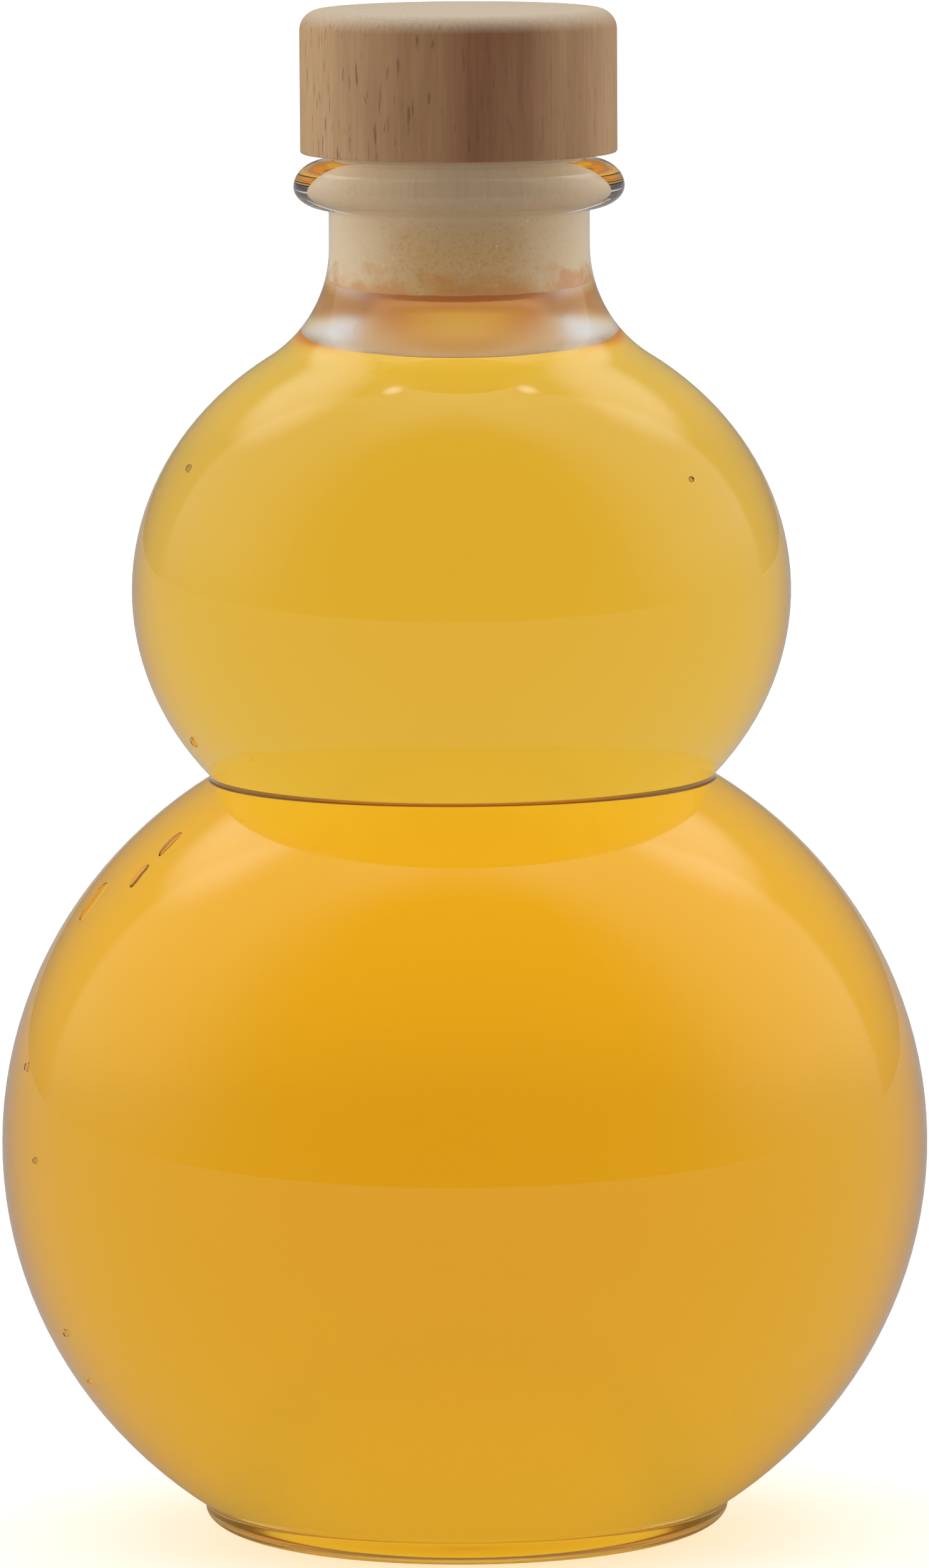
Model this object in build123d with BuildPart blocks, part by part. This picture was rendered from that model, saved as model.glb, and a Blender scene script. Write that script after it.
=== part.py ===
"""A gourd-shaped glass bottle of half a litre, filled with a golden drink and closed by a wooden stopper.

The bottle is one thick-walled vessel of clear glass. A large lower bulb and a smaller upper bulb meet in a
sharp waist. A short neck with a ring round it rises from the upper bulb, and the vessel stands on a low foot
with a domed underside. The stopper is a turned beech head with a cork shank, which is glued into a pocket in
the head's underside. The shank slides in the neck's bore, and the head rests on the mouth.

The origin is the middle of the foot, on the surface that the bottle stands on, and +Z is up. Lengths are
millimetres.
"""

import os
from math import atan2, cos, degrees, dist, hypot, radians, sin, sqrt

from build123d import *

# Bulbs: ellipses turned about the bottle's axis, and how far the upper one reaches into the lower one
LOWER_RADIUS = 50.0
LOWER_HALF_HEIGHT = 47.3
UPPER_RADIUS = 35.45
UPPER_HALF_HEIGHT = 30.9
BULB_OVERLAP = 18.3

# Foot: a low ring under the lower bulb, with a rounded heel round the band that it stands on
FOOT_RADIUS = 28.3
FOOT_HEIGHT = 3.0
HEEL_HEIGHT = 2.4
HEEL_WIDTH = 4.8
BEARING_WIDTH = 1.8
PUNT_DEPTH = 6.0

# Neck: its straight stretch, and the arcs that lead up to it from the upper bulb, outside and in the cavity
NECK_RADIUS = 14.0
NECK_LENGTH = 4.05
SHOULDER_RADIUS = 14.0
INNER_SHOULDER_RADIUS = 6.0

# Ring round the neck's top, and the low lip above it
RING_OVERHANG = 3.75
RING_UPPER_HEIGHT = 2.9
RING_LOWER_HEIGHT = 2.4
LIP_HEIGHT = 0.7
LIP_WALL_SHARE = 0.8
LIP_ROUNDING_SHARE = 0.4

# Thickness of the glass
WALL = 3.5
NECK_WALL = 3.25
FLOOR_THICKNESS = 2.8

# Roundings of the glass, outside and in
CREASE_ROUNDING = 0.5
RIDGE_ROUNDING = 2.0
CORNER_ROUNDING = 5.0
MOUTH_ROUNDING = 0.7

# Room between the shank's end and the drink
HEADSPACE = 7.3

# Stopper
HEAD_RADIUS = 17.0
HEAD_HEIGHT = 15.35
HEAD_TOP_ROUNDING = 2.2
HEAD_EDGE_ROUNDING = 0.25
SHANK_LENGTH = 16.0
SHANK_END_ROUNDING = 1.6
SPIGOT_CHAMFER = 0.6
POCKET_DEPTH = 4.0
GLUE_THICKNESS = 0.15
BORE_CLEARANCE = 0.05

# How far the cavity's cut runs past the mouth that it opens
OVERRUN = 2.0

QUARTER_TURN = 90
HALVINGS = 60


class Oval:
    """An upright ellipse in the half profile, where a point is (distance from the bottle's axis, height)."""

    def __init__(self, centre, half_width, half_height):
        self.centre = centre
        self.half_width = half_width
        self.half_height = half_height

    def point_at(self, angle, distance=0):
        """The point at an angle round the outline, or the one at a distance outside it and square to it."""
        turn = radians(angle)
        outwards, upwards = self.half_height * cos(turn), self.half_width * sin(turn)
        length = hypot(outwards, upwards)
        return (
            self.centre[0] + self.half_width * cos(turn) + distance * outwards / length,
            self.centre[1] + self.half_height * sin(turn) + distance * upwards / length,
        )

    def draw(self, *angles):
        """Adds the outline to the profile, as one exact rational curve from each of these angles to the next."""
        for first_angle, last_angle in zip(angles, angles[1:]):
            middle = radians(first_angle + last_angle) / 2
            corner_weight = cos(radians(last_angle - first_angle) / 2)
            corner = (
                self.centre[0] + self.half_width * cos(middle) / corner_weight,
                self.centre[1] + self.half_height * sin(middle) / corner_weight,
            )
            ends = self.point_at(first_angle), self.point_at(last_angle)
            Bezier(ends[0], corner, ends[1], weights=[1, corner_weight, 1])


def draw_arc(centre, first_point, last_point):
    """Adds the arc about a centre, the short way from one point to another, to the profile."""
    across, up = first_point[0] - centre[0], first_point[1] - centre[1]
    first_angle = degrees(atan2(up, across))
    last_angle = degrees(atan2(last_point[1] - centre[1], last_point[0] - centre[0]))
    turn = (last_angle - first_angle + 2 * QUARTER_TURN) % (4 * QUARTER_TURN) - 2 * QUARTER_TURN
    CenterArc(centre, hypot(across, up), start_angle=first_angle, arc_size=turn)


def turning_point(first, last, holds):
    """The value between first and last at which holds(value) turns from true to false."""
    for _ in range(HALVINGS):
        middle = (first + last) / 2
        first, last = (middle, last) if holds(middle) else (first, middle)
    return (first + last) / 2


def angle_beside_wall(oval, wall_radius, rounding, end_angle):
    """The angle round an oval where it is met smoothly by an arc that also touches an upright wall outside."""
    arc_radius = wall_radius + rounding
    return turning_point(0, end_angle, lambda angle: oval.point_at(angle, rounding)[0] > arc_radius)


def waist_angles(lower, upper, rounding):
    """The angles round two ovals where they are met smoothly by the arc that rounds the groove between them."""

    def partner(angle):
        radius = lower.point_at(angle, rounding)[0]
        return turning_point(0, -QUARTER_TURN, lambda other: upper.point_at(other, rounding)[0] > radius)

    def is_apart(angle):
        return upper.point_at(partner(angle), rounding)[1] > lower.point_at(angle, rounding)[1]

    lower_angle = turning_point(0, QUARTER_TURN, is_apart)
    return lower_angle, partner(lower_angle)


def corner_angle(oval, dome_centre, dome_radius, rounding):
    """The angle round an oval where it is met smoothly by an arc inside it that also touches a dome below."""
    reach = dome_radius + rounding
    return turning_point(-QUARTER_TURN, 0, lambda angle: dist(oval.point_at(angle, -rounding), dome_centre) < reach)


def shoulder_centre(upper, neck_radius, shoulder_radius):
    """The centre of the shoulder's arc, which leaves the upper bulb smoothly and ends upright at the neck."""
    angle = angle_beside_wall(upper, neck_radius, shoulder_radius, QUARTER_TURN)
    return upper.point_at(angle, shoulder_radius)


def draw_body(lower, upper, start_angle, waist_rounding, neck_radius, shoulder_radius):
    """Adds both bulbs with the rounded waist between them, and the shoulder up to the neck, to the profile."""
    lower_end, upper_start = waist_angles(lower, upper, waist_rounding)
    upper_end = angle_beside_wall(upper, neck_radius, shoulder_radius, QUARTER_TURN)
    waist_centre = lower.point_at(lower_end, waist_rounding)
    centre = shoulder_centre(upper, neck_radius, shoulder_radius)
    lower.draw(start_angle, 0, lower_end)
    draw_arc(waist_centre, lower.point_at(lower_end), upper.point_at(upper_start))
    upper.draw(upper_start, 0, upper_end)
    draw_arc(centre, upper.point_at(upper_end), (neck_radius, centre[1]))


def circle_near(part, radius, height):
    """The round edge of a turned solid that lies nearest to a radius and a height."""
    circles = part.edges().filter_by(GeomType.CIRCLE)
    return circles.sort_by(lambda edge: hypot(edge.radius - radius, edge.arc_center.Z - height))[0]


# Bulbs, outside and in
foot_share = FOOT_RADIUS / LOWER_RADIUS
lower_centre = FOOT_HEIGHT + LOWER_HALF_HEIGHT * sqrt(1 - foot_share * foot_share)
upper_centre = lower_centre + LOWER_HALF_HEIGHT + UPPER_HALF_HEIGHT - BULB_OVERLAP
outer_lower = Oval((0, lower_centre), LOWER_RADIUS, LOWER_HALF_HEIGHT)
outer_upper = Oval((0, upper_centre), UPPER_RADIUS, UPPER_HALF_HEIGHT)
inner_lower = Oval((0, lower_centre), LOWER_RADIUS - WALL, LOWER_HALF_HEIGHT - WALL)
inner_upper = Oval((0, upper_centre), UPPER_RADIUS - WALL, UPPER_HALF_HEIGHT - WALL)

# Neck, ring and mouth
bore_radius = NECK_RADIUS - NECK_WALL
neck_start = shoulder_centre(outer_upper, NECK_RADIUS, SHOULDER_RADIUS)[1]
bore_start = shoulder_centre(inner_upper, bore_radius, INNER_SHOULDER_RADIUS)[1]
ring_height = neck_start + NECK_LENGTH + RING_LOWER_HEIGHT
ring_top = ring_height + RING_UPPER_HEIGHT
mouth_height = ring_top + LIP_HEIGHT
ring_lower = Oval((NECK_RADIUS, ring_height), RING_OVERHANG, RING_LOWER_HEIGHT)
ring_upper = Oval((NECK_RADIUS, ring_height), RING_OVERHANG, RING_UPPER_HEIGHT)
lip_radius = bore_radius + NECK_WALL * LIP_WALL_SHARE
lip_rounding = LIP_HEIGHT * LIP_ROUNDING_SHARE

# Foot, the dome under it, and the floor, which follows the dome at an even thickness
bearing_outer = FOOT_RADIUS - HEEL_WIDTH
bearing_inner = bearing_outer - BEARING_WIDTH
heel = Oval((bearing_outer, HEEL_HEIGHT), HEEL_WIDTH, HEEL_HEIGHT)
dome_radius = (bearing_inner * bearing_inner + PUNT_DEPTH * PUNT_DEPTH) / (2 * PUNT_DEPTH)
dome_centre = (0, PUNT_DEPTH - dome_radius)
floor_radius = dome_radius + FLOOR_THICKNESS
floor_top = PUNT_DEPTH + FLOOR_THICKNESS

# Stopper and drink
shank_radius = bore_radius - BORE_CLEARANCE
shank_end = mouth_height - SHANK_LENGTH
pocket_radius = shank_radius + GLUE_THICKNESS
spigot_top = mouth_height + POCKET_DEPTH - GLUE_THICKNESS
drink_height = shank_end - HEADSPACE

# Cavity of the glass, from the floor to above the rounded mouth
with BuildPart() as cavity:
    with BuildSketch(Plane.XZ):
        with BuildLine():
            body_start = corner_angle(inner_lower, dome_centre, floor_radius, CORNER_ROUNDING)
            corner_centre = inner_lower.point_at(body_start, -CORNER_ROUNDING)
            corner_share = floor_radius / dist(corner_centre, dome_centre)
            floor_edge = (
                corner_centre[0] * corner_share,
                dome_centre[1] + (corner_centre[1] - dome_centre[1]) * corner_share,
            )
            draw_arc(dome_centre, (0, floor_top), floor_edge)
            draw_arc(corner_centre, floor_edge, inner_lower.point_at(body_start))
            draw_body(
                inner_lower, inner_upper, body_start, RIDGE_ROUNDING, bore_radius, INNER_SHOULDER_RADIUS
            )
            mouth_radius = bore_radius + MOUTH_ROUNDING
            bore_end = mouth_height - MOUTH_ROUNDING
            cut_top = mouth_height + OVERRUN
            Line((bore_radius, bore_start), (bore_radius, bore_end))
            draw_arc((mouth_radius, bore_end), (bore_radius, bore_end), (mouth_radius, mouth_height))
            Polyline((mouth_radius, mouth_height), (mouth_radius, cut_top), (0, cut_top), (0, floor_top))
        make_face()
    revolve(axis=Axis.Z)

# Bottle: the outside turned in one piece, with the cavity cut out of it
with BuildPart() as glass_bottle:
    with BuildSketch(Plane.XZ):
        with BuildLine():
            draw_arc(dome_centre, (0, PUNT_DEPTH), (bearing_inner, 0))
            Line((bearing_inner, 0), (bearing_outer, 0))
            heel.draw(-QUARTER_TURN, 0)
            foot_end = angle_beside_wall(outer_lower, FOOT_RADIUS, CREASE_ROUNDING, -QUARTER_TURN)
            crease_centre = outer_lower.point_at(foot_end, CREASE_ROUNDING)
            crease_start = (FOOT_RADIUS, crease_centre[1])
            Line((FOOT_RADIUS, HEEL_HEIGHT), crease_start)
            draw_arc(crease_centre, crease_start, outer_lower.point_at(foot_end))
            draw_body(outer_lower, outer_upper, foot_end, CREASE_ROUNDING, NECK_RADIUS, SHOULDER_RADIUS)
            ring_start = angle_beside_wall(ring_lower, NECK_RADIUS, CREASE_ROUNDING, -QUARTER_TURN)
            groove_centre = ring_lower.point_at(ring_start, CREASE_ROUNDING)
            neck_end = (NECK_RADIUS, groove_centre[1])
            Line((NECK_RADIUS, neck_start), neck_end)
            draw_arc(groove_centre, neck_end, ring_lower.point_at(ring_start))
            ring_lower.draw(ring_start, 0)
            ring_upper.draw(0, QUARTER_TURN)
            Polyline(
                (NECK_RADIUS, ring_top),
                (lip_radius, ring_top),
                (lip_radius, mouth_height),
                (0, mouth_height),
                (0, PUNT_DEPTH),
            )
        make_face()
    revolve(axis=Axis.Z)
    fillet(circle_near(glass_bottle.part, lip_radius, mouth_height), lip_rounding)
    fillet(circle_near(glass_bottle.part, lip_radius, ring_top), lip_rounding)
    add(cavity.part, mode=Mode.SUBTRACT)

# Drink: what the cavity holds, up to the drink's surface
with BuildPart() as drink:
    add(cavity.part)
    split(bisect_by=Plane.XY.offset(drink_height), keep=Keep.BOTTOM)

# Stopper's head: a turned disc of beech with a pocket in its underside
with BuildPart() as stopper_head:
    with BuildSketch(Plane.XY.offset(mouth_height)):
        Circle(HEAD_RADIUS)
    extrude(amount=HEAD_HEIGHT)
    fillet(circle_near(stopper_head.part, HEAD_RADIUS, mouth_height + HEAD_HEIGHT), HEAD_TOP_ROUNDING)
    fillet(circle_near(stopper_head.part, HEAD_RADIUS, mouth_height), HEAD_EDGE_ROUNDING)
    with BuildSketch(Plane.XY.offset(mouth_height)):
        Circle(pocket_radius)
    extrude(amount=POCKET_DEPTH, mode=Mode.SUBTRACT)

# Stopper's shank: a cork cylinder, whose top is the spigot that the head's pocket holds
with BuildPart() as stopper_shank:
    with BuildSketch(Plane.XY.offset(shank_end)):
        Circle(shank_radius)
    extrude(amount=spigot_top - shank_end)
    fillet(circle_near(stopper_shank.part, shank_radius, shank_end), SHANK_END_ROUNDING)
    chamfer(circle_near(stopper_shank.part, shank_radius, spigot_top), SPIGOT_CHAMFER)

# Glue: the thin cup that fills the pocket round the spigot
with BuildPart() as stopper_glue:
    with BuildSketch(Plane.XY.offset(mouth_height)):
        Circle(pocket_radius)
    extrude(amount=POCKET_DEPTH)
    add(stopper_shank.part, mode=Mode.SUBTRACT)

glass_bottle.part.label = "glass_bottle"
drink.part.label = "drink"
stopper_head.part.label = "stopper_head"
stopper_shank.part.label = "stopper_shank"
stopper_glue.part.label = "stopper_glue"

os.makedirs("parts", exist_ok=True)
export_step(glass_bottle.part, "parts/glass_bottle.step")
export_step(drink.part, "parts/drink.step")
export_step(stopper_head.part, "parts/stopper_head.step")
export_step(stopper_shank.part, "parts/stopper_shank.step")
export_step(stopper_glue.part, "parts/stopper_glue.step")

for sub_part in (glass_bottle, drink, stopper_head, stopper_shank, stopper_glue):
    print(f"{sub_part.part.label}: {sub_part.part.volume / 1000:.2f} cm3")
print(f"mouth {mouth_height:.2f}, shank's end {shank_end:.2f}, drink's surface {drink_height:.2f} mm high")
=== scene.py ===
"""The looks of a gourd-shaped glass bottle that holds a golden drink, closed by a wooden stopper.

The bottle, the drink and the stopper are turned about the bottle's axis from half outlines, whose sizes are
those of the solid model. Sizes are millimetres until a mesh is made, and metres from there.
"""

import logging
import math
from collections.abc import Callable, Sequence
from dataclasses import dataclass, field
from enum import Enum
from functools import cached_property, partial

import bmesh
import bpy
from mathutils import Matrix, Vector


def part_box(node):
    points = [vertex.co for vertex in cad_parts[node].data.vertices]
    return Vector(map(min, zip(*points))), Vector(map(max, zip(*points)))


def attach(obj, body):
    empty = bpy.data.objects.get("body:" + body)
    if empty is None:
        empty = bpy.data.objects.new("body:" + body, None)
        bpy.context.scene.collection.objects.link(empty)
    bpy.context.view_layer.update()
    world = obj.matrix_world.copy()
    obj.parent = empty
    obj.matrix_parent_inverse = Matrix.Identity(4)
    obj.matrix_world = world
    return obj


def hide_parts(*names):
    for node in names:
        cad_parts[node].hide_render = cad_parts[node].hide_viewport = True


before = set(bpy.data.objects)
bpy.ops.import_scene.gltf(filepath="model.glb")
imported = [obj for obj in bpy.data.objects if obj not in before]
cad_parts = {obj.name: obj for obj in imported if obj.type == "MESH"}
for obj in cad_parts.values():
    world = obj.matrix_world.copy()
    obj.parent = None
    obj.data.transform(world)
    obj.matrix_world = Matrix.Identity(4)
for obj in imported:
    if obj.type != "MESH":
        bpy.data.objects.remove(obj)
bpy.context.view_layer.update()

log = logging.getLogger("bottle")

MM = 0.001
FULL_TURN = 2 * math.pi
# Enough halvings to bring an angle to its last digit.
HALVINGS = 50
# Points that are closer than these, in millimetres, are one: in an outline, and in a mesh.
SAME_POINT = 1e-6
WELD_DISTANCE = 0.001
# The stretch in which most of a noise pattern's values lie.
NOISE_RANGE = (0.3, 0.7)
# What one crossing of a polished surface leaves of a lamp's light. The rest is mirrored away.
LIGHT_PASSED = 0.96

Point = tuple[float, float]
Colour = tuple[float, float, float, float]
Material = bpy.types.Material
Piece = bpy.types.Object
Socket = bpy.types.NodeSocket
Node = bpy.types.Node
Given = float | str | Colour | Socket | Node
Adder = Callable[..., Node]


class Wall(Enum):
    """What lies against a stretch of a turned piece's outline: the value is its wetness."""

    DRY = 0.0
    FILMED = 0.5
    WET = 1.0


class RayKind(Enum):
    """The kinds of ray that the scene answers in their own way, each by its Light Path output."""

    CAMERA = "Is Camera Ray"
    THROUGH_GLASS = "Is Transmission Ray"
    MIRRORED = "Is Glossy Ray"
    LIT = "Is Diffuse Ray"
    SHADOW = "Is Shadow Ray"


def linear(hex_colour: str) -> Colour:
    """Turns an sRGB colour into the linear one that the nodes work in.

    Args:
        hex_colour: The colour as #rrggbb.

    Returns:
        Linear red, green and blue, and an alpha of 1.
    """
    parts = [int(hex_colour[i : i + 2], 16) / 255 for i in (1, 3, 5)]
    red, green, blue = (c / 12.92 if c <= 0.04045 else ((c + 0.055) / 1.055) ** 2.4 for c in parts)
    return red, green, blue, 1.0


def add_node(
    tree: bpy.types.NodeTree, kind: str, inputs: Sequence[Given] | dict[int | str, Given] = (),
    **settings: object,
) -> Node:
    """Adds a node with its settings and links.

    Args:
        tree: The tree that takes the node.
        kind: The node's type name.
        inputs: What its inputs get, in order or by name: values, outputs, or nodes for their first output.
        settings: The node's own properties.

    Returns:
        The new node.
    """
    node = tree.nodes.new(kind)
    for name, value in settings.items():
        setattr(node, name, value)
    for key, value in inputs.items() if isinstance(inputs, dict) else enumerate(inputs):
        if isinstance(value, Node):
            value = value.outputs[0]
        if isinstance(value, Socket):
            tree.links.new(value, node.inputs[key])
        else:
            node.inputs[key].default_value = value
    return node


def empty_material(name: str) -> tuple[Material, Adder]:
    """Makes a material whose node tree holds nothing yet.

    Args:
        name: The material's name.

    Returns:
        The material, and what adds its nodes.
    """
    material = bpy.data.materials.new(name)
    material.use_nodes = True
    material.node_tree.nodes.clear()
    return material, partial(add_node, material.node_tree)


def new_object(name: str, data: bpy.types.ID) -> Piece:
    """Makes an object in the scene.

    Args:
        name: The object's name.
        data: Its mesh or camera.

    Returns:
        The object.
    """
    made = bpy.data.objects.new(name, data)
    bpy.context.scene.collection.objects.link(made)
    return made


# Outlines


def turning_point(first: float, last: float, holds: Callable[[float], bool]) -> float:
    """Finds where something stops being true.

    Args:
        first: A value at which it's true.
        last: A value at which it isn't.
        holds: Tells whether it's true at a value.

    Returns:
        The value between them at which it turns.
    """
    for _ in range(HALVINGS):
        middle = (first + last) / 2
        first, last = (middle, last) if holds(middle) else (first, middle)
    return (first + last) / 2


@dataclass(frozen=True)
class Oval:
    """An upright ellipse in the half outline, where a point is (distance from the bottle's axis, height)."""

    centre: Point
    half_width: float
    half_height: float

    def point_at(self, angle: float, distance: float = 0.0) -> Point:
        """Finds a point of the ellipse, or one beside it.

        Args:
            angle: The angle round the ellipse, in degrees, with 0 at its widest and 90 at its top.
            distance: How far outside the ellipse the point lies, square to it.

        Returns:
            The point.
        """
        turn = math.radians(angle)
        outwards, upwards = self.half_height * math.cos(turn), self.half_width * math.sin(turn)
        length = math.hypot(outwards, upwards)
        return (
            self.centre[0] + self.half_width * math.cos(turn) + distance * outwards / length,
            self.centre[1] + self.half_height * math.sin(turn) + distance * upwards / length,
        )

    def angle_beside(self, wall_radius: float, rounding: float, end: float) -> float:
        """The angle where the ellipse smoothly meets an outer arc that also touches an upright wall."""
        reach = wall_radius + rounding
        return turning_point(0, end, lambda angle: self.point_at(angle, rounding)[0] > reach)


@dataclass
class Outline:
    """The half outline of a turned piece, drawn from its lowest point on the axis to its last one there."""

    step: float
    points: list[Point] = field(default_factory=list)
    walls: list[Wall] = field(default_factory=list)
    wall: Wall = Wall.DRY

    def add(self, *points: Point) -> None:
        """Adds points joined by straight lines.

        Args:
            points: The points. One that repeats the point before it is left out.
        """
        for point in points:
            if not self.points or math.dist(point, self.points[-1]) > SAME_POINT:
                self.points.append(point)
                self.walls.append(self.wall)

    def arc(self, centre: Point, last: Point) -> None:
        """Adds the arc about a centre, the short way from the last point to another.

        Args:
            centre: The arc's centre.
            last: The point at which the arc ends.
        """
        across, up = self.points[-1][0] - centre[0], self.points[-1][1] - centre[1]
        start = math.atan2(up, across)
        end = math.atan2(last[1] - centre[1], last[0] - centre[0])
        turn = (end - start + math.pi) % FULL_TURN - math.pi
        count = max(2, math.ceil(math.degrees(abs(turn)) / self.step))
        radius = math.hypot(across, up)
        for i in range(1, count + 1):
            angle = start + turn * i / count
            self.add((centre[0] + radius * math.cos(angle), centre[1] + radius * math.sin(angle)))

    def oval(self, oval: Oval, first: float, last: float) -> None:
        """Adds a stretch of an ellipse between two angles."""
        count = max(2, math.ceil(abs(last - first) / self.step))
        self.add(*(oval.point_at(first + (last - first) * i / count) for i in range(count + 1)))


@dataclass(frozen=True)
class BottleShape:
    """The sizes of the glass, in millimetres, and the outlines that follow from them."""

    lower_radius: float = 50.0
    lower_half_height: float = 47.3
    upper_radius: float = 35.45
    upper_half_height: float = 30.9
    bulb_overlap: float = 18.3
    foot_radius: float = 28.3
    foot_height: float = 3.0
    heel_height: float = 2.4
    heel_width: float = 4.8
    bearing_width: float = 1.8
    punt_depth: float = 6.0
    neck_radius: float = 14.0
    neck_length: float = 4.05
    shoulder_radius: float = 14.0
    inner_shoulder_radius: float = 6.0
    ring_overhang: float = 3.75
    ring_upper_height: float = 2.9
    ring_lower_height: float = 2.4
    lip_height: float = 0.7
    lip_wall_share: float = 0.8
    lip_rounding_share: float = 0.4
    wall: float = 3.5
    neck_wall: float = 3.25
    floor_thickness: float = 2.8
    crease_rounding: float = 0.5
    ridge_rounding: float = 2.0
    corner_rounding: float = 5.0
    mouth_rounding: float = 0.7

    @cached_property
    def lower_centre(self) -> float:
        """The height of the lower bulb's centre."""
        foot_share = self.foot_radius / self.lower_radius
        return self.foot_height + self.lower_half_height * math.sqrt(1 - foot_share * foot_share)

    @cached_property
    def upper_centre(self) -> float:
        """The height of the upper bulb's centre."""
        return self.lower_centre + self.lower_half_height + self.upper_half_height - self.bulb_overlap

    @cached_property
    def bore_radius(self) -> float:
        """The radius of the neck's bore."""
        return self.neck_radius - self.neck_wall

    @cached_property
    def floor_top(self) -> float:
        """The height of the cavity's floor at the axis."""
        return self.punt_depth + self.floor_thickness

    @cached_property
    def neck_start(self) -> float:
        """The height at which the neck's straight stretch begins."""
        return self.shoulder(0.0)[1][1]

    @cached_property
    def ring_height(self) -> float:
        """The height at which the neck's ring is widest."""
        return self.neck_start + self.neck_length + self.ring_lower_height

    @cached_property
    def mouth_height(self) -> float:
        """The height of the mouth, on which the stopper's head rests."""
        return self.ring_height + self.ring_upper_height + self.lip_height

    @cached_property
    def bearing_inner(self) -> float:
        """The inner radius of the band that the bottle stands on."""
        return self.foot_radius - self.heel_width - self.bearing_width

    @cached_property
    def dome_radius(self) -> float:
        """The radius of the domed hollow under the foot."""
        return (self.bearing_inner**2 + self.punt_depth**2) / (2 * self.punt_depth)

    def bulbs(self, inset: float) -> tuple[Oval, Oval]:
        """Gives the two bulbs.

        Args:
            inset: How far they are drawn in from the outside.

        Returns:
            The lower and the upper one.
        """
        return (
            Oval((0.0, self.lower_centre), self.lower_radius - inset, self.lower_half_height - inset),
            Oval((0.0, self.upper_centre), self.upper_radius - inset, self.upper_half_height - inset),
        )

    def shoulder(self, inset: float) -> tuple[float, Point]:
        """Finds the arc of the shoulder, outside or in the cavity.

        Args:
            inset: The neck's wall in the cavity, or 0 outside.

        Returns:
            The angle round the upper bulb at which the arc leaves it, and the arc's centre.
        """
        upper = self.bulbs(self.wall if inset else 0.0)[1]
        rounding = self.inner_shoulder_radius if inset else self.shoulder_radius
        angle = upper.angle_beside(self.neck_radius - inset, rounding, 90)
        return angle, upper.point_at(angle, rounding)

    def draw_body(self, outline: Outline, inset: float, start: float, waist_rounding: float) -> None:
        """Adds the bulbs, the waist and the shoulder to an outline.

        Args:
            outline: The outline that takes them.
            inset: The neck's wall in the cavity, or 0 outside.
            start: The angle round the lower bulb to start at.
            waist_rounding: The radius of the arc between the bulbs.
        """
        lower, upper = self.bulbs(self.wall if inset else 0.0)

        def partner(angle: float) -> float:
            """The angle round the upper bulb that lies as far out as one round the lower bulb."""
            radius = lower.point_at(angle, waist_rounding)[0]
            return turning_point(0, -90, lambda other: upper.point_at(other, waist_rounding)[0] > radius)

        def is_apart(angle: float) -> bool:
            """Whether an arc that touches the lower bulb there is still clear of the upper one."""
            highest = upper.point_at(partner(angle), waist_rounding)[1]
            return highest > lower.point_at(angle, waist_rounding)[1]

        lower_end = turning_point(0, 90, is_apart)
        outline.oval(lower, start, lower_end)
        outline.arc(lower.point_at(lower_end, waist_rounding), upper.point_at(partner(lower_end)))
        upper_end, centre = self.shoulder(inset)
        outline.oval(upper, partner(lower_end), upper_end)
        outline.arc(centre, (self.neck_radius - inset, centre[1]))

    def cavity(self, step: float) -> Outline:
        """Draws the cavity's wall, from the middle of its floor to the mouth.

        Args:
            step: The angle between an arc's points, in degrees.

        Returns:
            The half outline.
        """
        outline = Outline(step)
        lower = self.bulbs(self.wall)[0]
        dome_centre = (0.0, self.punt_depth - self.dome_radius)
        floor_radius = self.dome_radius + self.floor_thickness
        reach = floor_radius + self.corner_rounding
        start = turning_point(
            -90, 0, lambda turn: math.dist(lower.point_at(turn, -self.corner_rounding), dome_centre) < reach
        )
        corner_centre = lower.point_at(start, -self.corner_rounding)
        corner_share = floor_radius / math.dist(corner_centre, dome_centre)
        floor_edge = (
            corner_centre[0] * corner_share,
            dome_centre[1] + (corner_centre[1] - dome_centre[1]) * corner_share,
        )
        outline.add((0.0, self.floor_top))
        outline.arc(dome_centre, floor_edge)
        outline.arc(corner_centre, lower.point_at(start))
        self.draw_body(outline, self.neck_wall, start, self.ridge_rounding)
        mouth_radius = self.bore_radius + self.mouth_rounding
        bore_end = self.mouth_height - self.mouth_rounding
        outline.add((self.bore_radius, bore_end))
        outline.arc((mouth_radius, bore_end), (mouth_radius, self.mouth_height))
        return outline

    def outside(self, step: float) -> Outline:
        """Draws the outside, from the middle of the dome under the foot to the mouth.

        Args:
            step: The angle between an arc's points, in degrees.

        Returns:
            The half outline.
        """
        outline = Outline(step)
        bearing_outer = self.foot_radius - self.heel_width
        outline.add((0.0, self.punt_depth))
        outline.arc((0.0, self.punt_depth - self.dome_radius), (self.bearing_inner, 0.0))
        outline.add((bearing_outer, 0.0))
        outline.oval(Oval((bearing_outer, self.heel_height), self.heel_width, self.heel_height), -90, 0)
        lower = self.bulbs(0.0)[0]
        rounding = self.crease_rounding
        foot_end = lower.angle_beside(self.foot_radius, rounding, -90)
        crease_centre = lower.point_at(foot_end, rounding)
        outline.add((self.foot_radius, crease_centre[1]))
        outline.arc(crease_centre, lower.point_at(foot_end))
        self.draw_body(outline, 0.0, foot_end, rounding)
        self.draw_ring(outline)
        return outline

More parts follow.
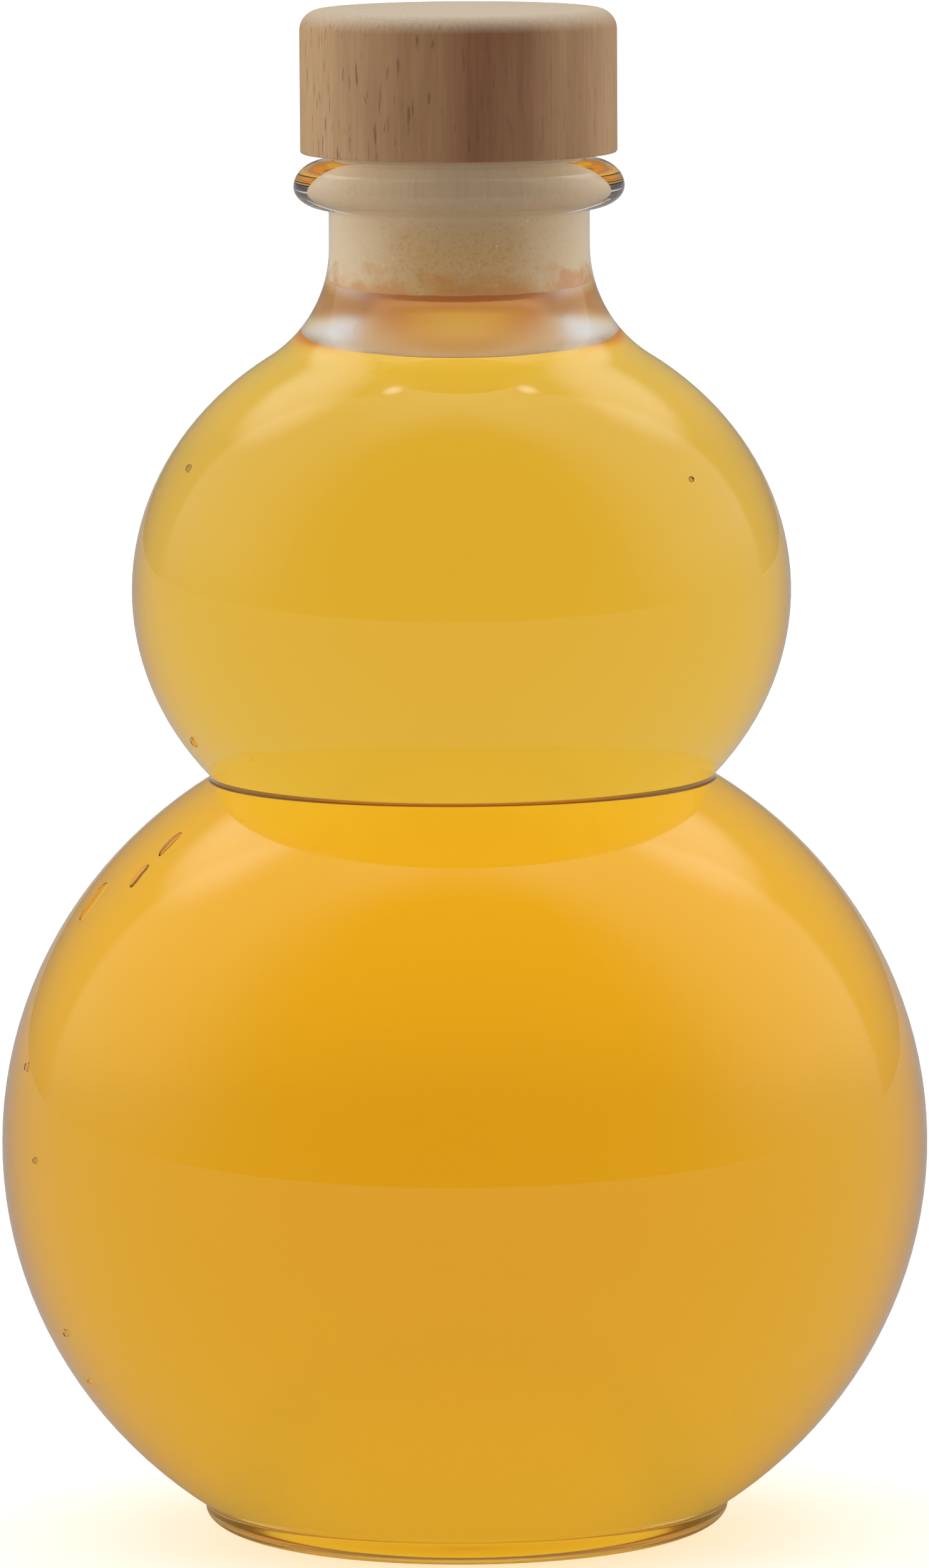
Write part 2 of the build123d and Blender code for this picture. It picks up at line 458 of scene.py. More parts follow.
    def draw_ring(self, outline: Outline) -> None:
        """Adds the neck, the ring round it and the lip above.

        Args:
            outline: The outline that takes them.
        """
        ring_top = self.ring_height + self.ring_upper_height
        ring_centre = (self.neck_radius, self.ring_height)
        below = Oval(ring_centre, self.ring_overhang, self.ring_lower_height)
        above = Oval(ring_centre, self.ring_overhang, self.ring_upper_height)
        rounding = self.crease_rounding
        start = below.angle_beside(self.neck_radius, rounding, -90)
        groove_centre = below.point_at(start, rounding)
        outline.add((self.neck_radius, groove_centre[1]))
        outline.arc(groove_centre, below.point_at(start))
        outline.oval(below, start, 0)
        outline.oval(above, 0, 90)
        lip_radius = self.bore_radius + self.neck_wall * self.lip_wall_share
        lip_rounding = self.lip_height * self.lip_rounding_share
        outline.add((lip_radius + lip_rounding, ring_top))
        lip_start, lip_end = ring_top + lip_rounding, self.mouth_height - lip_rounding
        outline.arc((lip_radius + lip_rounding, lip_start), (lip_radius, lip_start))
        outline.add((lip_radius, lip_end))
        outline.arc((lip_radius - lip_rounding, lip_end), (lip_radius - lip_rounding, self.mouth_height))


# Turning


class ShapeTree:
    """A Geometry Nodes tree with named inputs, and the plain meshes that it gives."""

    def __init__(self, name: str, inputs: dict[str, str]) -> None:
        """Makes the tree, which holds no node yet.

        Args:
            name: The tree's name.
            inputs: The kind of each input, by its name. The first takes the mesh that the tree works on.
        """
        self.tree = bpy.data.node_groups.new(name, "GeometryNodeTree")
        interface = self.tree.interface
        self.sockets: dict[str, str] = {}
        for label, kind in inputs.items():
            socket = interface.new_socket(name=label, in_out="INPUT", socket_type="NodeSocket" + kind)
            self.sockets[label] = socket.identifier
        interface.new_socket(name="Mesh", in_out="OUTPUT", socket_type="NodeSocketGeometry")
        self.add = partial(add_node, self.tree)

    def shape(self, name: str, mesh: bpy.types.Mesh, values: dict[str, object]) -> Piece:
        """Runs the tree on a mesh, and keeps the result as a plain mesh whose faces point outwards.

        Args:
            name: The piece's name.
            mesh: What the tree works on.
            values: The other inputs' values, by their names.

        Returns:
            The piece, at the origin.
        """
        blank = new_object(mesh.name, mesh)
        modifier = blank.modifiers.new(self.tree.name, "NODES")
        modifier.node_group = self.tree
        for label, value in values.items():
            modifier[self.sockets[label]] = value
        bpy.context.view_layer.update()
        evaluated = blank.evaluated_get(bpy.context.evaluated_depsgraph_get())
        plain = bpy.data.meshes.new_from_object(evaluated)
        bpy.data.objects.remove(blank)
        shell = bmesh.new()
        shell.from_mesh(plain)
        bmesh.ops.recalc_face_normals(shell, faces=shell.faces)
        if shell.calc_volume(signed=True) < 0:
            bmesh.ops.reverse_faces(shell, faces=shell.faces)
        shell.to_mesh(plain)
        shell.free()
        plain.name = name
        return new_object(name, plain)


class Lathe(ShapeTree):
    """The tree that turns a half outline about the axis into a closed mesh."""

    def __init__(self) -> None:
        """Makes the tree with its nodes: a grid of outline points by segments, bent round the axis."""
        super().__init__(
            "turned_piece",
            {
                "Outline": "Geometry", "Segments": "Int",
                "Unevenness": "Float", "Unevenness Size": "Float", "Seed": "Float",
                "Dry Finish": "Material", "Filmed Finish": "Material", "Wet Finish": "Material",
            },
        )
        add = self.add
        given = add("NodeGroupInput").outputs
        count = add("GeometryNodeAttributeDomainSize", {"Geometry": given["Outline"]})
        columns = add("ShaderNodeMath", [given["Segments"], 1.0], operation="ADD")
        grid = add(
            "GeometryNodeMeshGrid", {"Vertices X": count.outputs["Point Count"], "Vertices Y": columns}
        )
        index = add("GeometryNodeInputIndex")
        ratio = add("ShaderNodeMath", [index, columns], operation="DIVIDE")
        row = add("ShaderNodeMath", [ratio], operation="FLOOR")
        column = add("ShaderNodeMath", [index, columns], operation="MODULO")
        share = add("ShaderNodeMath", [column, given["Segments"]], operation="DIVIDE")
        angle = add("ShaderNodeMath", [share, FULL_TURN], operation="MULTIPLY")
        position = add("GeometryNodeInputPosition")
        place = add(
            "GeometryNodeSampleIndex", {"Geometry": given["Outline"], "Value": position, "Index": row},
            data_type="FLOAT_VECTOR",
        )
        turned = add("ShaderNodeVectorRotate", {"Vector": place, "Angle": angle}, rotation_type="Z_AXIS")
        bent = add("GeometryNodeSetPosition", {"Geometry": grid.outputs["Mesh"], "Position": turned})
        wet = add("GeometryNodeInputNamedAttribute", {"Name": "wet"}, data_type="FLOAT")
        wetness = add(
            "GeometryNodeSampleIndex", {"Geometry": given["Outline"], "Value": wet, "Index": row},
            data_type="FLOAT",
        )
        marked = add(
            "GeometryNodeStoreNamedAttribute", {"Geometry": bent, "Name": "wet", "Value": wetness},
            data_type="FLOAT", domain="POINT",
        )
        closed = add("GeometryNodeMergeByDistance", {"Geometry": marked, "Distance": WELD_DISTANCE * MM})
        self.add_finish(closed, given, wet)

    def add_finish(self, closed: Node, given: bpy.types.bpy_prop_collection, wet: Node) -> None:
        """Adds the nodes that make the closed mesh uneven and give it its finishes.

        Args:
            closed: The node that gives the closed mesh.
            given: The outputs of the tree's group input.
            wet: The node that reads the wetness.
        """
        add = self.add
        position = add("GeometryNodeInputPosition")
        fineness = add("ShaderNodeMath", [1.0, given["Unevenness Size"]], operation="DIVIDE")
        noise = add(
            "ShaderNodeTexNoise",
            {"Vector": position, "W": given["Seed"], "Scale": fineness, "Detail": 2.0},
            noise_dimensions="4D",
        )
        swing = add("ShaderNodeMath", [noise, 0.5], operation="SUBTRACT")
        height = add("ShaderNodeMath", [swing, given["Unevenness"]], operation="MULTIPLY")
        normal = add("GeometryNodeInputNormal")
        offset = add("ShaderNodeVectorMath", {0: normal, "Scale": height}, operation="SCALE")
        uneven = add("GeometryNodeSetPosition", {"Geometry": closed, "Offset": offset})
        smooth = add("GeometryNodeSetShadeSmooth", {"Geometry": uneven})
        real = add("GeometryNodeRealizeInstances", {"Geometry": smooth})
        dressed = add("GeometryNodeSetMaterial", {"Geometry": real, "Material": given["Dry Finish"]})
        for wall, finish in ((Wall.FILMED, "Filmed Finish"), (Wall.WET, "Wet Finish")):
            least = wall.value - Wall.FILMED.value / 2
            chosen = add("FunctionNodeCompare", [wet, least], operation="GREATER_THAN")
            dressed = add(
                "GeometryNodeSetMaterial",
                {"Geometry": dressed, "Selection": chosen, "Material": given[finish]},
            )
        add("NodeGroupOutput", [dressed])

    def turn(
        self,
        name: str,
        outline: Outline,
        finish: Material,
        wet_finish: Material | None = None,
        filmed_finish: Material | None = None,
        segments: int = 288,
        unevenness: float = 0.0,
        unevenness_size: float = 10.0,
        seed: float = 0.0,
    ) -> Piece:
        """Turns an outline into a finished piece.

        Args:
            name: The piece's name.
            outline: The half outline, in millimetres.
            finish: The material of the dry stretches.
            wet_finish: The material of the wet stretches, if it isn't the same one.
            filmed_finish: The material of the stretches with a film of liquid, if it isn't the same one.
            segments: How many flats make a full turn.
            unevenness: The most that the surface swings in and out, in millimetres.
            unevenness_size: The width of those swings, in millimetres.
            seed: Which swings.

        Returns:
            The piece, a plain mesh at the origin.
        """
        mesh = bpy.data.meshes.new(name + "_outline")
        vertices = [(radius * MM, 0.0, height * MM) for radius, height in outline.points]
        mesh.from_pydata(vertices, [(i, i + 1) for i in range(len(vertices) - 1)], [])
        wet = mesh.attributes.new("wet", "FLOAT", "POINT")
        wet.data.foreach_set("value", [wall.value for wall in outline.walls])
        return self.shape(
            name,
            mesh,
            {
                "Segments": segments,
                "Unevenness": unevenness * MM, "Unevenness Size": unevenness_size * MM, "Seed": seed,
                "Dry Finish": finish,
                "Filmed Finish": filmed_finish or finish, "Wet Finish": wet_finish or finish,
            },
        )


# Finishes


def blend(add: Adder, share: Given, first: Given, second: Given) -> Socket:
    """Adds a mix of two colours by a share, and returns it."""
    return add("ShaderNodeMix", {0: share, 6: first, 7: second}, data_type="RGBA").outputs[2]


def bending_surface(
    name: str, ior: float, roughness: float = 0.0, tint: Colour = (1.0, 1.0, 1.0, 1.0)
) -> Material:
    """Makes a surface that bends what is seen through it, while the light of the lamps goes straight on.

    Args:
        name: The material's name.
        ior: The index of refraction of what lies behind the surface against what lies before it.
        roughness: How much it blurs.
        tint: What two crossings leave of white light.

    Returns:
        The material.
    """
    material, add = empty_material(name)
    side = add(
        "ShaderNodeBsdfPrincipled",
        {"Base Color": tint, "Roughness": roughness, "IOR": ior, "Transmission Weight": 1.0},
    )
    one_crossing = (*(LIGHT_PASSED * math.sqrt(part) for part in tint[:3]), 1.0)
    straight_on = add("ShaderNodeBsdfTransparent", {"Color": one_crossing})
    rays = add("ShaderNodeLightPath")
    for kind in (RayKind.LIT, RayKind.SHADOW):
        side = add("ShaderNodeMixShader", [rays.outputs[kind.value], side, straight_on])
    add("ShaderNodeOutputMaterial", [side])
    return material


@dataclass(frozen=True)
class ClearGlass:
    """Polished soda-lime glass. It bends and mirrors light cleanly, and a thin mirror image lies on it.

    Where the drink wets it, a haze of settled sugar softens and warms what is seen. Above the drink, the film
    that it left tints the glass peach, a tint that is mostly a painted orange glow from the drink below.
    """

    ior: float = 1.5
    haze_roughness: float = 0.5
    haze_tint: Colour = (1.0, 0.865, 0.64, 1.0)
    film_roughness: float = 0.3
    # Painted glow: the film's peach tint stands in for orange light from the drink below.
    film_glow_tint: Colour = (0.8, 0.49, 0.18, 1.0)

    def material(self) -> Material:
        """Makes glass against air."""
        return bending_surface("soda_lime_glass", self.ior)

    def wet_material(self, drink_ior: float) -> Material:
        """Makes glass against the drink, which bends light only by the ratio of the two."""
        return bending_surface(
            "soda_lime_glass_wetted", self.ior / drink_ior, self.haze_roughness, self.haze_tint
        )

    def filmed_material(self) -> Material:
        """Makes glass against air with a film of the drink on it, tinted peach by a painted orange glow."""
        return bending_surface("soda_lime_glass_filmed", self.ior, self.film_roughness, self.film_glow_tint)


@dataclass(frozen=True)
class GoldenDrink:
    """A sweet golden liquid. It takes the blue out of light within centimetres, and some of the green."""

    ior: float = 1.45
    colour: Colour = (0.98, 0.845, 0.0, 1.0)
    density: float = 50.0
    drop_tint: str = "#fcdca4"
    drop_roughness: float = 0.05

    def body(self) -> Material:
        """Makes the liquid itself, whose surfaces bend nothing, because the glass and the skin on it do.

        Returns:
            The material.
        """
        material, add = empty_material("golden_liquid")
        shader = add(
            "ShaderNodeBsdfPrincipled",
            {"Base Color": (1, 1, 1, 1), "Roughness": 0.0, "IOR": 1.0, "Transmission Weight": 1.0},
        )
        open_way = add("ShaderNodeBsdfTransparent")
        kind = add("ShaderNodeLightPath")
        side = add("ShaderNodeMixShader", [kind.outputs[RayKind.CAMERA.value], open_way, shader])
        depth = add("ShaderNodeVolumeAbsorption", {"Color": self.colour, "Density": self.density})
        add("ShaderNodeOutputMaterial", [side, depth])
        return material

    def surface(self) -> Material:
        """Makes the drink's surface against the air above it."""
        return bending_surface("golden_liquid_surface", self.ior)

    def under_surface(self) -> Material:
        """Makes the underside of the drink's surface, which light passes freely.

        Returns:
            The material.
        """
        material, add = empty_material("golden_liquid_under_surface")
        open_way = add("ShaderNodeBsdfTransparent")
        add("ShaderNodeOutputMaterial", [open_way])
        return material

    def drops(self) -> Material:
        """Makes drops of the drink on the outside of the glass, too thin to be golden by their depth."""
        return bending_surface("golden_liquid_drops", self.ior, self.drop_roughness, linear(self.drop_tint))


@dataclass(frozen=True)
class Beech:
    """Turned and finely sanded beech: fine upright fibres, short dark flecks, and a top painted paler, a
    painted sheen of the light from above.

    The side is painted darker and redder in a band down the front and the back, a painted shade where it
    turns away from the side lamps. Real fibres are about 0.05 mm wide, and are drawn as coarse as they need
    to show.
    """

    side: str = "#cba171"
    # Painted shade, on the side's front and back.
    painted_shade: str = "#93623e"
    # Painted sheen, on the faces that look up.
    top: str = "#d3bfa4"
    fleck: str = "#6d4a30"
    fibre_width: float = 0.35
    fibre_length: float = 9.0
    band_width: float = 5.0
    band_length: float = 40.0
    fleck_width: float = 0.42
    fleck_length: float = 3.2
    shade_band_width: float = 18.0
    shade_band_offset: float = 3.0
    shade_band_blur: float = 0.15
    top_slope: float = 0.2
    fibre_range: tuple[float, float] = (0.35, 0.65)
    fibre_shades: tuple[float, float] = (0.93, 1.05)
    fibre_relief: float = 0.03
    relief_strength: float = 0.25
    fleck_range: tuple[float, float] = (0.61, 0.7)
    fleck_share: float = 0.6
    fleck_sides: tuple[float, float] = (1.0, 0.4)
    roughness: float = 0.55
    ior: float = 1.5

    def material(self) -> Material:
        """Makes the wood, whose fibres run up the bottle's axis.

        Returns:
            The material.
        """
        material, add = empty_material("sanded_beech")
        where = add("ShaderNodeTexCoord").outputs["Object"]
        fibres = self.streaks(add, where, self.fibre_width, self.fibre_length)
        bands = self.streaks(add, where, self.band_width, self.band_length)
        flecks = self.streaks(add, where, self.fleck_width, self.fleck_length)
        across = add("ShaderNodeSeparateXYZ", [where])
        # Painted shade: a darker, redder band about the front and the back, where the side turns away from
        # the side lamps.
        aside = add("ShaderNodeMath", [across.outputs["X"], self.shade_band_offset * MM], operation="SUBTRACT")
        aside = add("ShaderNodeMath", [aside], operation="ABSOLUTE")
        from_shade_band = add("ShaderNodeMapRange", [aside, 0.0, self.shade_band_width * MM])
        uneven = add("ShaderNodeMapRange", [bands, *NOISE_RANGE, -self.shade_band_blur, self.shade_band_blur])
        share = add("ShaderNodeMath", [from_shade_band, uneven], operation="ADD", use_clamp=True)
        wood = blend(add, share, linear(self.painted_shade), linear(self.side))
        # Painted sheen: faces that look up are painted paler, as if lit from above and mirroring the bright
        # room.
        facing = add("ShaderNodeNewGeometry")
        upwards = add("ShaderNodeSeparateXYZ", [facing.outputs["Normal"]])
        on_top = add("ShaderNodeMapRange", [upwards.outputs["Z"], self.top_slope])
        wood = blend(add, on_top, wood, linear(self.top))
        fibre_depth = add("ShaderNodeMapRange", [fibres, *self.fibre_range, *self.fibre_shades])
        wood = add("ShaderNodeVectorMath", {0: wood, "Scale": fibre_depth}, operation="SCALE")
        is_fleck = add("ShaderNodeMapRange", [flecks, *self.fleck_range, 0.0, self.fleck_share])
        spread = add(
            "ShaderNodeMapRange",
            [across.outputs["X"], -self.shade_band_offset * MM, 2 * self.shade_band_offset * MM, *self.fleck_sides],
        )
        beside = add("ShaderNodeMath", [spread, on_top], operation="SUBTRACT", use_clamp=True)
        fleck_share = add("ShaderNodeMath", [is_fleck, beside], operation="MULTIPLY")
        wood = blend(add, fleck_share, wood, linear(self.fleck))
        bump = add(
            "ShaderNodeBump",
            {"Strength": self.relief_strength, "Distance": self.fibre_relief * MM, "Height": fibres},
        )
        shader = add(
            "ShaderNodeBsdfPrincipled",
            {"Base Color": wood, "Roughness": self.roughness, "IOR": self.ior, "Normal": bump},
        )
        add("ShaderNodeOutputMaterial", [shader])
        return material

    def streaks(self, add: Adder, where: Socket, width: float, length: float) -> Node:
        """Adds upright streaks.

        Args:
            add: What adds the wood's nodes.
            where: The place on the wood.
            width: The streaks' width, in millimetres.
            length: Their length, in millimetres.

        Returns:
            The node that gives their depth.
        """
        scale = (1 / (width * MM), 1 / (width * MM), 1 / (length * MM))
        stretched = add("ShaderNodeMapping", {"Vector": where, "Scale": scale})
        return add("ShaderNodeTexNoise", {"Vector": stretched, "Scale": 1.0, "Detail": 2.0})


@dataclass(frozen=True)
class Cork:
    """Fine pressed cork: tan grains with darker and paler specks between them."""

    grain: str = "#e3b980"
    dark: str = "#cfa268"
    speck: str = "#f4dfb4"
    # Seeped-in drink together with a painted orange glow from the drink below.
    soaked_glow: str = "#dc9650"
    # Painted light, towards the cork's sides and top.
    painted_light: str = "#f3e2c2"
    side_light_start: float = 4.0
    side_light_end: float = 11.0
    top_light_height: float = 12.0
    side_light_share: float = 0.7
    top_light_share: float = 0.55
    grain_size: float = 0.45
    grain_range: tuple[float, float] = (0.5, 0.75)
    speck_size: float = 0.35
    speck_range: tuple[float, float] = (0.66, 0.72)
    speck_seed: float = 5.0
    soak_glow_patch: float = 3.0
    soak_glow_low: float = 0.5
    soak_glow_high: float = 5.0
    soak_glow_blur: float = 1.5
    soak_glow_share: float = 0.7
    roughness: float = 0.8
    ior: float = 1.4

    def material(self, end: float) -> Material:
        """Makes the cork, darker and more orange near its lower end, where drink has seeped in and where an
        orange glow from the drink below is painted on, and painted lighter towards its sides and its top as
        painted light.

        Args:
            end: The height of the cork's lower end in millimetres.

        Returns:
            The material.
        """
        material, add = empty_material("pressed_cork")
        where = add("ShaderNodeTexCoord").outputs["Object"]
        colour: Given = linear(self.grain)
        for size, seed, other, depths in (
            (self.grain_size, 0.0, self.dark, self.grain_range),
            (self.speck_size, self.speck_seed, self.speck, self.speck_range),
        ):
            noise = add(
                "ShaderNodeTexNoise", {"Vector": where, "W": seed, "Scale": 1 / (size * MM), "Detail": 3.0},
                noise_dimensions="4D",
            )
            share = add("ShaderNodeMapRange", [noise, *depths])
            colour = blend(add, share, colour, linear(other))
        # Seeped-in drink and painted glow: the lower end is darker and more orange, partly from drink that
        # seeped in, partly a painted orange glow from the drink below.
        patches = add(
            "ShaderNodeTexNoise", {"Vector": where, "Scale": 1 / (self.soak_glow_patch * MM), "Detail": 3.0}
        )
        line = add(
            "ShaderNodeMapRange",
            [patches, *NOISE_RANGE, (end + self.soak_glow_low) * MM, (end + self.soak_glow_high) * MM],
        )
        height = add("ShaderNodeSeparateXYZ", [where])
        # Painted light: the cork is painted lighter towards its sides, where the side lamps fall, and towards
        # its top.
        aside = add("ShaderNodeMath", [height.outputs["X"]], operation="ABSOLUTE")
        light_share = add(
            "ShaderNodeMapRange", [aside, self.side_light_start * MM, self.side_light_end * MM, 0.0, self.side_light_share]
        )
        low, high = end + self.top_light_height / 2, end + self.top_light_height
        top_light_share = add(
            "ShaderNodeMapRange", [height.outputs["Z"], low * MM, high * MM, 0.0, self.top_light_share]
        )
        light_share = add("ShaderNodeMath", [light_share, top_light_share], operation="MAXIMUM")
        colour = blend(add, light_share, colour, linear(self.painted_light))
        below = add("ShaderNodeMath", [line, height.outputs["Z"]], operation="SUBTRACT")
        soak_glow = add(
            "ShaderNodeMapRange", [below, -self.soak_glow_blur * MM, self.soak_glow_blur * MM, 0.0, self.soak_glow_share]
        )
        colour = blend(add, soak_glow, colour, linear(self.soaked_glow))
        shader = add(
            "ShaderNodeBsdfPrincipled", {"Base Color": colour, "Roughness": self.roughness, "IOR": self.ior}
        )
        add("ShaderNodeOutputMaterial", [shader])
        return material


@dataclass(frozen=True)
class DriedGlue:
    """Dried wood glue: a cream film, a little uneven and satin."""

    cream: str = "#e4d6b0"
    yellowed: str = "#cfae6c"
    lump_size: float = 2.0
    roughness: float = 0.4
    ior: float = 1.5

    def material(self) -> Material:
        """Makes the glue.

        Returns:
            The material.
        """
        material, add = empty_material("dried_wood_glue")
        where = add("ShaderNodeTexCoord").outputs["Object"]
        lumps = add("ShaderNodeTexNoise", {"Vector": where, "Scale": 1 / (self.lump_size * MM)})
        colour = blend(add, lumps, linear(self.cream), linear(self.yellowed))
        shader = add(
            "ShaderNodeBsdfPrincipled", {"Base Color": colour, "Roughness": self.roughness, "IOR": self.ior}
        )
        add("ShaderNodeOutputMaterial", [shader])
        return material


# Pieces


@dataclass
class Vessel:
    """The glass and the drink in it."""

    lathe: Lathe
    shape: BottleShape
    drink_level: float
    glass: ClearGlass = ClearGlass()
    drink: GoldenDrink = GoldenDrink()
    arc_step: float = 2.6
    meniscus_rise: float = 1.0
    meniscus_reach: float = 1.2
    film_height: float = 9.0
    wall_gap: float = 0.02
    skin_thickness: float = 0.3
    surface_rings: int = 36

    def wall_between(self, low: float, high: float) -> list[Point]:
        """Takes the cavity's wall between two heights.

        Args:
            low: The lower height.
            high: The upper height.

        Returns:
            The wall's points, with one at the upper height.
        """
        points = self.shape.cavity(self.arc_step).points
        below = [point for point in points if point[1] < high]
        last, following = below[-1], points[len(below)]
        share = (high - last[1]) / (following[1] - last[1])
        end = (last[0] + share * (following[0] - last[0]), high)
        return [*(point for point in below if point[1] > low), end]

    def wetted_wall(self) -> list[Point]:
        """The cavity's wall from its floor up to the line that the drink has climbed to."""
        return self.wall_between(0.0, self.drink_level + self.meniscus_rise)

    def build_glass(self) -> Piece:
        """Turns the glass, outside first and then down the cavity's wall.

        Returns:
            The piece.
        """
        outline = self.shape.outside(self.arc_step)
        wet_top = self.drink_level + self.meniscus_rise
        film_top = wet_top + self.film_height
        cavity = self.shape.cavity(self.arc_step).points
        outline.add(*reversed([point for point in cavity if point[1] > film_top]))
        outline.wall = Wall.FILMED
        outline.add(*reversed(self.wall_between(wet_top, film_top)))
        outline.wall = Wall.WET
        outline.add(*reversed(self.wetted_wall()))
        return self.lathe.turn(
            "bottle_glass", outline, self.glass.material(), self.glass.wet_material(self.drink.ior),
            self.glass.filmed_material(),
        )

    def surface_height(self, radius: float, rim: float) -> float:
        """The height of the drink's surface, which climbs at the wall."""
        return self.drink_level + self.meniscus_rise * math.exp((radius - rim) / self.meniscus_reach)

    def surface(self, lift: float) -> list[Point]:
        """Draws the drink's surface.

        Args:
            lift: How far it's lifted.

        Returns:
            Its points, from the wall to the axis.
        """
        rim = self.wetted_wall()[-1][0] - self.wall_gap
        radii = [rim - rim * (i / self.surface_rings) ** 2 for i in range(self.surface_rings + 1)]
        return [(max(radius, 0.0), self.surface_height(radius, rim) + lift) for radius in radii]

    def build_drink(self) -> Piece:
        """Turns the drink, a hair's breadth inside the glass.

        Returns:
            The piece.
        """
        outline = Outline(self.arc_step)
        outline.add(*inset(self.wetted_wall(), self.wall_gap)[:-1])
        outline.add(*self.surface(0.0))
        return self.lathe.turn("drink_body", outline, self.drink.body())

    def build_skin(self) -> Piece:
        """Turns the drink's skin, whose upper side bends light as the drink's surface does.

        Returns:
            The piece.
        """
        outline = Outline(self.arc_step)
        outline.wall = Wall.WET
        upper = self.surface(self.wall_gap)
        outline.add(*reversed(self.surface(-self.skin_thickness)))
        outline.add(upper[0])
        outline.wall = Wall.DRY
        outline.add(*upper[1:])
        return self.lathe.turn("drink_surface", outline, self.drink.surface(), self.drink.under_surface())


@dataclass(frozen=True)
class Drop:
    """A drop on the outside of the glass: where it clings, in degrees from the front, and its size."""

    turn: float
    height: float
    width: float
    length: float


@dataclass(frozen=True)
class Drops:
    """The few drops and runs of drink that cling to the outside of the bulbs. Lengths are millimetres."""

    shape: BottleShape
    finish: Material
    thickness: float = 0.4
    rings: int = 10
    clinging: tuple[Drop, ...] = (
        Drop(turn=66.0, height=73.0, width=1.1, length=3.2),
        Drop(turn=65.0, height=76.3, width=0.7, length=3.6),
        Drop(turn=77.0, height=69.5, width=0.5, length=5.0),
        Drop(turn=67.0, height=87.0, width=0.6, length=1.3),
        Drop(turn=67.0, height=116.3, width=0.7, length=1.0),
        Drop(turn=73.0, height=52.4, width=0.8, length=1.1),
        Drop(turn=66.0, height=43.2, width=0.6, length=0.8),
        Drop(turn=67.0, height=24.2, width=0.8, length=1.0),
        Drop(turn=67.5, height=18.7, width=0.5, length=0.7),
        Drop(turn=-50.0, height=115.6, width=0.6, length=0.7),
    )

    def build(self) -> Piece:
        """Places a flattened ball at every drop, half sunk into the glass.

        Returns:
            The drops, as one piece.
        """
        mesh = bpy.data.meshes.new("drop_places")
        places, turnings, sizes = [], [], []
        for drop in self.clinging:
            lower, upper = self.shape.bulbs(0.0)
            is_low = drop.height < upper.centre[1] - upper.half_height + self.shape.bulb_overlap / 2
            oval = lower if is_low else upper
            angle = math.degrees(math.asin((drop.height - oval.centre[1]) / oval.half_height))
            radius, height = oval.point_at(angle)
            outer = oval.point_at(angle, 1.0)
            slope = math.atan2(outer[1] - height, outer[0] - radius)
            turn = -math.radians(90 + drop.turn)
            places.append((radius * math.cos(turn) * MM, radius * math.sin(turn) * MM, height * MM))
            turnings.append((0.0, math.radians(90) - slope, turn))
            sizes.append((drop.length / 2 * MM, drop.width / 2 * MM, self.thickness * MM))
        mesh.from_pydata(places, [], [])
        for name, values in (("turning", turnings), ("size", sizes)):
            given = mesh.attributes.new(name, "FLOAT_VECTOR", "POINT")
            given.data.foreach_set("vector", [part for value in values for part in value])
        return self.ball_tree().shape("spilled_drops", mesh, {"Rings": self.rings, "Finish": self.finish})

    def ball_tree(self) -> ShapeTree:
        """Makes the tree that puts a ball at every place.

        Returns:
            The tree.
        """
        balls = ShapeTree("drops", {"Places": "Geometry", "Rings": "Int", "Finish": "Material"})
        add = balls.add
        given = add("NodeGroupInput").outputs
        across = add("ShaderNodeMath", [given["Rings"], 2.0], operation="MULTIPLY")
        ball = add("GeometryNodeMeshUVSphere", {"Segments": across, "Rings": given["Rings"], "Radius": 1.0})
        turning, size = (
            add("GeometryNodeInputNamedAttribute", {"Name": name}, data_type="FLOAT_VECTOR")
            for name in ("turning", "size")
        )
        placed = add(
            "GeometryNodeInstanceOnPoints",
            {
                "Points": given["Places"], "Instance": ball.outputs["Mesh"],
                "Rotation": turning, "Scale": size,
            },
        )
        real = add("GeometryNodeRealizeInstances", {"Geometry": placed})
        smooth = add("GeometryNodeSetShadeSmooth", {"Geometry": real})
        dressed = add("GeometryNodeSetMaterial", {"Geometry": smooth, "Material": given["Finish"]})
        add("NodeGroupOutput", [dressed])
        return balls


def inset(points: list[Point], distance: float) -> list[Point]:
    """Moves a wall's points square to it, into the cavity, and leaves the first one on the axis.

    Args:
        points: The wall's points, from the axis up.
        distance: How far they move.

    Returns:
        The moved points.
    """
    moved = []
    for i, (radius, height) in enumerate(points):
        before, after = points[max(i - 1, 0)], points[min(i + 1, len(points) - 1)]
        along, up = after[0] - before[0], after[1] - before[1]
        length = math.hypot(along, up)
        moved.append((max(radius - distance * up / length, 0.0), height + distance * along / length))
    return [(0.0, moved[0][1]), *moved[1:]]


